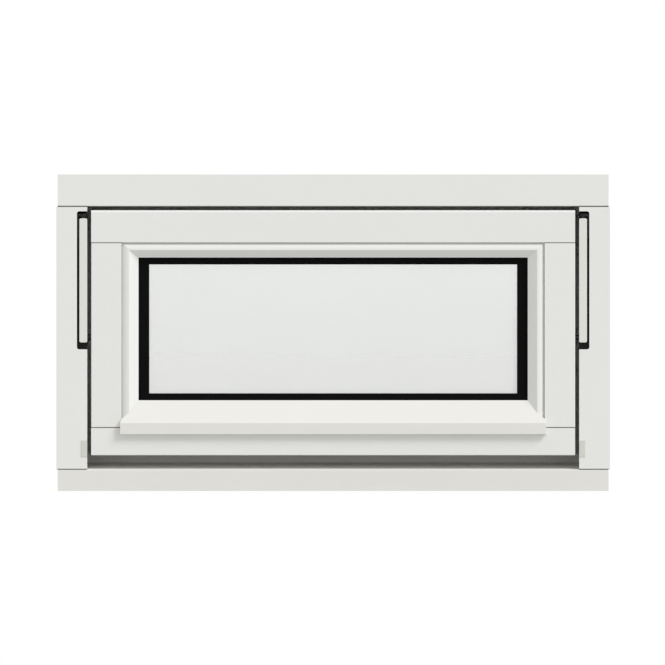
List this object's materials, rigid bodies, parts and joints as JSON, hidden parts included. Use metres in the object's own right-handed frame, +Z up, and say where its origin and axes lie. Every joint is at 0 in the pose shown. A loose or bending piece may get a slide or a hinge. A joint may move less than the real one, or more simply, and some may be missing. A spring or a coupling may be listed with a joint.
{
  "type": "pivot window",
  "caption": "Small top-swing reversible pivot window: painted timber frame and outward-opening glazed sash with moulded glazing beads, drip bead and side arms in jamb slots.",
  "frame": {"origin": "middle of the sill's underside, half way through the frame's depth", "axes": "+X to the right as seen from outside, +Y from outside to inside, +Z up"},
  "size_m": [0.7, 0.1196, 0.4],
  "materials": {
    "painted_timber": "satin white paint on pine",
    "weather_seal": "matte rubber",
    "glazing_rubber": "matte rubber",
    "spacer_bar": "matte",
    "clear_glass": "clear float glass",
    "grey_plastic": "moulded",
    "cover_paint": "satin powder coat",
    "handle_aluminium": "satin anodised",
    "zinc_steel": "zinc plated"
  },
  "bodies": {
    "frame": {"frame_head": "painted_timber", "frame_sill": "painted_timber", "frame_jamb_left": "painted_timber", "frame_jamb_right": "painted_timber", "seal_head": "weather_seal", "seal_sill": "weather_seal", "seal_jamb_left": "weather_seal", "seal_jamb_right": "weather_seal", "arm_bracket_left": "zinc_steel", "arm_bracket_right": "zinc_steel", "guide_block_left": "grey_plastic", "guide_block_right": "grey_plastic"},
    "sash": {"sash_top_rail": "painted_timber", "sash_bottom_rail": "painted_timber", "sash_stile_left": "painted_timber", "sash_stile_right": "painted_timber", "bead_top": "painted_timber", "bead_bottom": "painted_timber", "bead_left": "painted_timber", "bead_right": "painted_timber", "glass_outer": "clear_glass", "glass_inner": "clear_glass", "glazing_spacer": "spacer_bar", "gasket_top": "glazing_rubber", "gasket_bottom": "glazing_rubber", "gasket_left": "glazing_rubber", "gasket_right": "glazing_rubber", "inner_tape": "glazing_rubber", "setting_blocks": "grey_plastic", "sash_pivot_left": "zinc_steel", "sash_pivot_right": "zinc_steel", "arm_left": "zinc_steel", "arm_right": "zinc_steel", "arm_cover_left": "cover_paint", "arm_cover_right": "cover_paint", "handle_rose": "handle_aluminium", "handle_lever": "handle_aluminium"}
  },
  "joints": [
    {"name": "sash_swing", "type": "hinge", "parent": "frame", "child": "sash", "pos_m": [0, -0.052, 0.349], "axis": [-1, 0, 0], "range_deg": [0, 90]}
  ]
}
